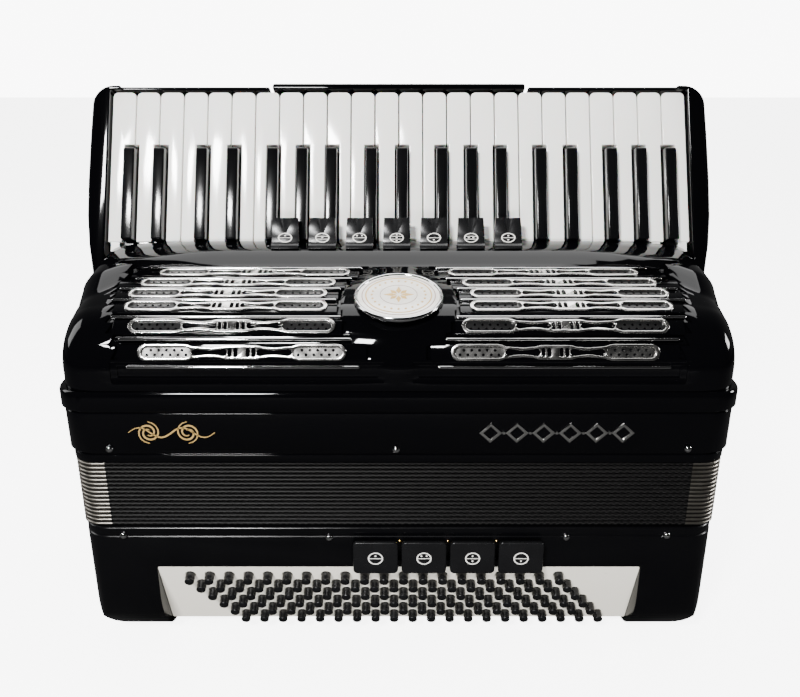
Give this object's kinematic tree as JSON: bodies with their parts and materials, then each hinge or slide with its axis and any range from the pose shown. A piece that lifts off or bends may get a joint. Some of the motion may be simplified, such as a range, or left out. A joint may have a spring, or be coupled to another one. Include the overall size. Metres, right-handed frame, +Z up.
{
  "type": "piano accordion",
  "caption": "Piano accordion standing on its bass side: leaning keyboard, domed grille with register tabs, folding bellows, bass casing with a slanted button board, hand strap.",
  "frame": {"origin": "On the surface the accordion stands on, under the middle of its box.", "axes": "+X along the keyboard from its high end to its low end, +Y to the back (the player's side), +Z up along the bellows' travel. The front with the grille and the buttons faces -Y."},
  "size_m": [0.5204, 0.228, 0.4301],
  "materials": {
    "black_lacquer": "polished black lacquer over celluloid",
    "black_plastic": "moulded black plastic, satin gloss",
    "black_key_plastic": "polished black key plastic",
    "white_key_plastic": "polished white key plastic",
    "ivory_plastic": "ivory-coloured moulded plastic",
    "chrome_plate": "polished chrome plate",
    "steel_rod": "drawn steel rod",
    "bellows_cloth": "black embossed bellows cloth",
    "black_leather": "black strap leather",
    "reed_block_wood": "planed spruce"
  },
  "bodies": {
    "bass_side": {"bass_casing": "black_lacquer", "bass_button_board": "ivory_plastic", "bass_end_cover": "black_lacquer", "bass_strap": "black_leather", "bass_reed_block": "reed_block_wood", "bellows": "bellows_cloth"},
    "treble_side": {"treble_casing": "black_lacquer", "fingerboard": "black_lacquer", "grille_cover": "black_lacquer", "grille_badge": "chrome_plate", "key_axle": "steel_rod", "treble_reed_block": "reed_block_wood"},
    "bass_note_buttons": {"bass_note_buttons": "black_plastic"},
    "bass_chord_buttons": {"bass_chord_buttons": "black_plastic"},
    "bass_registers": {"bass_registers": "black_plastic"},
    "air_button": {"air_button": "chrome_plate"},
    "strap_wheel": {"strap_wheel": "chrome_plate"},
    "treble_registers": {"treble_registers": "black_plastic"},
    "palm_switch": {"palm_switch": "black_lacquer"},
    "white_key_01": {"white_key_01": "white_key_plastic"},
    "white_key_02": {"white_key_02": "white_key_plastic"},
    "white_key_03": {"white_key_03": "white_key_plastic"},
    "white_key_04": {"white_key_04": "white_key_plastic"},
    "white_key_05": {"white_key_05": "white_key_plastic"},
    "white_key_06": {"white_key_06": "white_key_plastic"},
    "white_key_07": {"white_key_07": "white_key_plastic"},
    "white_key_08": {"white_key_08": "white_key_plastic"},
    "white_key_09": {"white_key_09": "white_key_plastic"},
    "white_key_10": {"white_key_10": "white_key_plastic"},
    "white_key_11": {"white_key_11": "white_key_plastic"},
    "white_key_12": {"white_key_12": "white_key_plastic"},
    "white_key_13": {"white_key_13": "white_key_plastic"},
    "white_key_14": {"white_key_14": "white_key_plastic"},
    "white_key_15": {"white_key_15": "white_key_plastic"},
    "white_key_16": {"white_key_16": "white_key_plastic"},
    "white_key_17": {"white_key_17": "white_key_plastic"},
    "white_key_18": {"white_key_18": "white_key_plastic"},
    "white_key_19": {"white_key_19": "white_key_plastic"},
    "white_key_20": {"white_key_20": "white_key_plastic"},
    "white_key_21": {"white_key_21": "white_key_plastic"},
    "white_key_22": {"white_key_22": "white_key_plastic"},
    "white_key_23": {"white_key_23": "white_key_plastic"},
    "white_key_24": {"white_key_24": "white_key_plastic"},
    "black_key_01": {"black_key_01": "black_key_plastic"},
    "black_key_02": {"black_key_02": "black_key_plastic"},
    "black_key_03": {"black_key_03": "black_key_plastic"},
    "black_key_04": {"black_key_04": "black_key_plastic"},
    "black_key_05": {"black_key_05": "black_key_plastic"},
    "black_key_06": {"black_key_06": "black_key_plastic"},
    "black_key_07": {"black_key_07": "black_key_plastic"},
    "black_key_08": {"black_key_08": "black_key_plastic"},
    "black_key_09": {"black_key_09": "black_key_plastic"},
    "black_key_10": {"black_key_10": "black_key_plastic"},
    "black_key_11": {"black_key_11": "black_key_plastic"},
    "black_key_12": {"black_key_12": "black_key_plastic"},
    "black_key_13": {"black_key_13": "black_key_plastic"},
    "black_key_14": {"black_key_14": "black_key_plastic"},
    "black_key_15": {"black_key_15": "black_key_plastic"},
    "black_key_16": {"black_key_16": "black_key_plastic"},
    "black_key_17": {"black_key_17": "black_key_plastic"}
  },
  "joints": [
    {"name": "bellows_open", "type": "slide", "parent": "bass_side", "child": "treble_side", "axis": [0, 0, 1], "range_m": [0, 0.34], "deforming": ["bellows"]},
    {"name": "treble_registers_rock", "type": "hinge", "parent": "treble_side", "child": "treble_registers", "pos_m": [0, 0.00807, 0.2942], "axis": [-1, 0, 0], "range_deg": [0, 4], "stiffness_Nm_per_rad": 0.5, "springref_deg": -5.73},
    {"name": "palm_switch_press", "type": "slide", "parent": "treble_side", "child": "palm_switch", "axis": [0, -0.4478, -0.8942], "range_m": [0, 0.0025], "stiffness_N_per_m": 400, "springref_m": -0.004},
    {"name": "bass_note_buttons_press", "type": "slide", "parent": "bass_side", "child": "bass_note_buttons", "axis": [0, 0.9367, 0.3502], "range_m": [0, 0.0035], "stiffness_N_per_m": 600, "springref_m": -0.004},
    {"name": "bass_chord_buttons_press", "type": "slide", "parent": "bass_side", "child": "bass_chord_buttons", "axis": [0, 0.9367, 0.3502], "range_m": [0, 0.0035], "stiffness_N_per_m": 600, "springref_m": -0.004},
    {"name": "bass_registers_press", "type": "slide", "parent": "bass_side", "child": "bass_registers", "axis": [0, 1, 0], "range_m": [0, 0.003], "stiffness_N_per_m": 500, "springref_m": -0.004},
    {"name": "air_button_press", "type": "slide", "parent": "bass_side", "child": "air_button", "axis": [-1, 0, 0], "range_m": [0, 0.004], "stiffness_N_per_m": 300, "springref_m": -0.004},
    {"name": "strap_wheel_turn", "type": "hinge", "parent": "bass_side", "child": "strap_wheel", "pos_m": [0.24, 0.01107, 0.05], "axis": [1, 0, 0], "continuous": true},
    {"name": "white_key_01_press", "type": "hinge", "parent": "treble_side", "child": "white_key_01", "pos_m": [0, 0.02763, 0.27826], "axis": [-1, 0, 0], "range_deg": [0, 1.8], "stiffness_Nm_per_rad": 1, "springref_deg": -5.73},
    {"name": "white_key_02_press", "type": "hinge", "parent": "treble_side", "child": "white_key_02", "pos_m": [0, 0.02763, 0.27826], "axis": [-1, 0, 0], "range_deg": [0, 1.8], "stiffness_Nm_per_rad": 1, "springref_deg": -5.73},
    {"name": "white_key_03_press", "type": "hinge", "parent": "treble_side", "child": "white_key_03", "pos_m": [0, 0.02763, 0.27826], "axis": [-1, 0, 0], "range_deg": [0, 1.8], "stiffness_Nm_per_rad": 1, "springref_deg": -5.73},
    {"name": "white_key_04_press", "type": "hinge", "parent": "treble_side", "child": "white_key_04", "pos_m": [0, 0.02763, 0.27826], "axis": [-1, 0, 0], "range_deg": [0, 1.8], "stiffness_Nm_per_rad": 1, "springref_deg": -5.73},
    {"name": "white_key_05_press", "type": "hinge", "parent": "treble_side", "child": "white_key_05", "pos_m": [0, 0.02763, 0.27826], "axis": [-1, 0, 0], "range_deg": [0, 1.8], "stiffness_Nm_per_rad": 1, "springref_deg": -5.73},
    {"name": "white_key_06_press", "type": "hinge", "parent": "treble_side", "child": "white_key_06", "pos_m": [0, 0.02763, 0.27826], "axis": [-1, 0, 0], "range_deg": [0, 1.8], "stiffness_Nm_per_rad": 1, "springref_deg": -5.73},
    {"name": "white_key_07_press", "type": "hinge", "parent": "treble_side", "child": "white_key_07", "pos_m": [0, 0.02763, 0.27826], "axis": [-1, 0, 0], "range_deg": [0, 1.8], "stiffness_Nm_per_rad": 1, "springref_deg": -5.73},
    {"name": "white_key_08_press", "type": "hinge", "parent": "treble_side", "child": "white_key_08", "pos_m": [0, 0.02763, 0.27826], "axis": [-1, 0, 0], "range_deg": [0, 1.8], "stiffness_Nm_per_rad": 1, "springref_deg": -5.73},
    {"name": "white_key_09_press", "type": "hinge", "parent": "treble_side", "child": "white_key_09", "pos_m": [0, 0.02763, 0.27826], "axis": [-1, 0, 0], "range_deg": [0, 1.8], "stiffness_Nm_per_rad": 1, "springref_deg": -5.73},
    {"name": "white_key_10_press", "type": "hinge", "parent": "treble_side", "child": "white_key_10", "pos_m": [0, 0.02763, 0.27826], "axis": [-1, 0, 0], "range_deg": [0, 1.8], "stiffness_Nm_per_rad": 1, "springref_deg": -5.73},
    {"name": "white_key_11_press", "type": "hinge", "parent": "treble_side", "child": "white_key_11", "pos_m": [0, 0.02763, 0.27826], "axis": [-1, 0, 0], "range_deg": [0, 1.8], "stiffness_Nm_per_rad": 1, "springref_deg": -5.73},
    {"name": "white_key_12_press", "type": "hinge", "parent": "treble_side", "child": "white_key_12", "pos_m": [0, 0.02763, 0.27826], "axis": [-1, 0, 0], "range_deg": [0, 1.8], "stiffness_Nm_per_rad": 1, "springref_deg": -5.73},
    {"name": "white_key_13_press", "type": "hinge", "parent": "treble_side", "child": "white_key_13", "pos_m": [0, 0.02763, 0.27826], "axis": [-1, 0, 0], "range_deg": [0, 1.8], "stiffness_Nm_per_rad": 1, "springref_deg": -5.73},
    {"name": "white_key_14_press", "type": "hinge", "parent": "treble_side", "child": "white_key_14", "pos_m": [0, 0.02763, 0.27826], "axis": [-1, 0, 0], "range_deg": [0, 1.8], "stiffness_Nm_per_rad": 1, "springref_deg": -5.73},
    {"name": "white_key_15_press", "type": "hinge", "parent": "treble_side", "child": "white_key_15", "pos_m": [0, 0.02763, 0.27826], "axis": [-1, 0, 0], "range_deg": [0, 1.8], "stiffness_Nm_per_rad": 1, "springref_deg": -5.73},
    {"name": "white_key_16_press", "type": "hinge", "parent": "treble_side", "child": "white_key_16", "pos_m": [0, 0.02763, 0.27826], "axis": [-1, 0, 0], "range_deg": [0, 1.8], "stiffness_Nm_per_rad": 1, "springref_deg": -5.73},
    {"name": "white_key_17_press", "type": "hinge", "parent": "treble_side", "child": "white_key_17", "pos_m": [0, 0.02763, 0.27826], "axis": [-1, 0, 0], "range_deg": [0, 1.8], "stiffness_Nm_per_rad": 1, "springref_deg": -5.73},
    {"name": "white_key_18_press", "type": "hinge", "parent": "treble_side", "child": "white_key_18", "pos_m": [0, 0.02763, 0.27826], "axis": [-1, 0, 0], "range_deg": [0, 1.8], "stiffness_Nm_per_rad": 1, "springref_deg": -5.73},
    {"name": "white_key_19_press", "type": "hinge", "parent": "treble_side", "child": "white_key_19", "pos_m": [0, 0.02763, 0.27826], "axis": [-1, 0, 0], "range_deg": [0, 1.8], "stiffness_Nm_per_rad": 1, "springref_deg": -5.73},
    {"name": "white_key_20_press", "type": "hinge", "parent": "treble_side", "child": "white_key_20", "pos_m": [0, 0.02763, 0.27826], "axis": [-1, 0, 0], "range_deg": [0, 1.8], "stiffness_Nm_per_rad": 1, "springref_deg": -5.73},
    {"name": "white_key_21_press", "type": "hinge", "parent": "treble_side", "child": "white_key_21", "pos_m": [0, 0.02763, 0.27826], "axis": [-1, 0, 0], "range_deg": [0, 1.8], "stiffness_Nm_per_rad": 1, "springref_deg": -5.73},
    {"name": "white_key_22_press", "type": "hinge", "parent": "treble_side", "child": "white_key_22", "pos_m": [0, 0.02763, 0.27826], "axis": [-1, 0, 0], "range_deg": [0, 1.8], "stiffness_Nm_per_rad": 1, "springref_deg": -5.73},
    {"name": "white_key_23_press", "type": "hinge", "parent": "treble_side", "child": "white_key_23", "pos_m": [0, 0.02763, 0.27826], "axis": [-1, 0, 0], "range_deg": [0, 1.8], "stiffness_Nm_per_rad": 1, "springref_deg": -5.73},
    {"name": "white_key_24_press", "type": "hinge", "parent": "treble_side", "child": "white_key_24", "pos_m": [0, 0.02763, 0.27826], "axis": [-1, 0, 0], "range_deg": [0, 1.8], "stiffness_Nm_per_rad": 1, "springref_deg": -5.73},
    {"name": "black_key_01_press", "type": "hinge", "parent": "treble_side", "child": "black_key_01", "pos_m": [0, 0.02763, 0.27826], "axis": [-1, 0, 0], "range_deg": [0, 1.8], "stiffness_Nm_per_rad": 1, "springref_deg": -5.73},
    {"name": "black_key_02_press", "type": "hinge", "parent": "treble_side", "child": "black_key_02", "pos_m": [0, 0.02763, 0.27826], "axis": [-1, 0, 0], "range_deg": [0, 1.8], "stiffness_Nm_per_rad": 1, "springref_deg": -5.73},
    {"name": "black_key_03_press", "type": "hinge", "parent": "treble_side", "child": "black_key_03", "pos_m": [0, 0.02763, 0.27826], "axis": [-1, 0, 0], "range_deg": [0, 1.8], "stiffness_Nm_per_rad": 1, "springref_deg": -5.73},
    {"name": "black_key_04_press", "type": "hinge", "parent": "treble_side", "child": "black_key_04", "pos_m": [0, 0.02763, 0.27826], "axis": [-1, 0, 0], "range_deg": [0, 1.8], "stiffness_Nm_per_rad": 1, "springref_deg": -5.73},
    {"name": "black_key_05_press", "type": "hinge", "parent": "treble_side", "child": "black_key_05", "pos_m": [0, 0.02763, 0.27826], "axis": [-1, 0, 0], "range_deg": [0, 1.8], "stiffness_Nm_per_rad": 1, "springref_deg": -5.73},
    {"name": "black_key_06_press", "type": "hinge", "parent": "treble_side", "child": "black_key_06", "pos_m": [0, 0.02763, 0.27826], "axis": [-1, 0, 0], "range_deg": [0, 1.8], "stiffness_Nm_per_rad": 1, "springref_deg": -5.73},
    {"name": "black_key_07_press", "type": "hinge", "parent": "treble_side", "child": "black_key_07", "pos_m": [0, 0.02763, 0.27826], "axis": [-1, 0, 0], "range_deg": [0, 1.8], "stiffness_Nm_per_rad": 1, "springref_deg": -5.73},
    {"name": "black_key_08_press", "type": "hinge", "parent": "treble_side", "child": "black_key_08", "pos_m": [0, 0.02763, 0.27826], "axis": [-1, 0, 0], "range_deg": [0, 1.8], "stiffness_Nm_per_rad": 1, "springref_deg": -5.73},
    {"name": "black_key_09_press", "type": "hinge", "parent": "treble_side", "child": "black_key_09", "pos_m": [0, 0.02763, 0.27826], "axis": [-1, 0, 0], "range_deg": [0, 1.8], "stiffness_Nm_per_rad": 1, "springref_deg": -5.73},
    {"name": "black_key_10_press", "type": "hinge", "parent": "treble_side", "child": "black_key_10", "pos_m": [0, 0.02763, 0.27826], "axis": [-1, 0, 0], "range_deg": [0, 1.8], "stiffness_Nm_per_rad": 1, "springref_deg": -5.73},
    {"name": "black_key_11_press", "type": "hinge", "parent": "treble_side", "child": "black_key_11", "pos_m": [0, 0.02763, 0.27826], "axis": [-1, 0, 0], "range_deg": [0, 1.8], "stiffness_Nm_per_rad": 1, "springref_deg": -5.73},
    {"name": "black_key_12_press", "type": "hinge", "parent": "treble_side", "child": "black_key_12", "pos_m": [0, 0.02763, 0.27826], "axis": [-1, 0, 0], "range_deg": [0, 1.8], "stiffness_Nm_per_rad": 1, "springref_deg": -5.73},
    {"name": "black_key_13_press", "type": "hinge", "parent": "treble_side", "child": "black_key_13", "pos_m": [0, 0.02763, 0.27826], "axis": [-1, 0, 0], "range_deg": [0, 1.8], "stiffness_Nm_per_rad": 1, "springref_deg": -5.73},
    {"name": "black_key_14_press", "type": "hinge", "parent": "treble_side", "child": "black_key_14", "pos_m": [0, 0.02763, 0.27826], "axis": [-1, 0, 0], "range_deg": [0, 1.8], "stiffness_Nm_per_rad": 1, "springref_deg": -5.73},
    {"name": "black_key_15_press", "type": "hinge", "parent": "treble_side", "child": "black_key_15", "pos_m": [0, 0.02763, 0.27826], "axis": [-1, 0, 0], "range_deg": [0, 1.8], "stiffness_Nm_per_rad": 1, "springref_deg": -5.73},
    {"name": "black_key_16_press", "type": "hinge", "parent": "treble_side", "child": "black_key_16", "pos_m": [0, 0.02763, 0.27826], "axis": [-1, 0, 0], "range_deg": [0, 1.8], "stiffness_Nm_per_rad": 1, "springref_deg": -5.73},
    {"name": "black_key_17_press", "type": "hinge", "parent": "treble_side", "child": "black_key_17", "pos_m": [0, 0.02763, 0.27826], "axis": [-1, 0, 0], "range_deg": [0, 1.8], "stiffness_Nm_per_rad": 1, "springref_deg": -5.73}
  ]
}
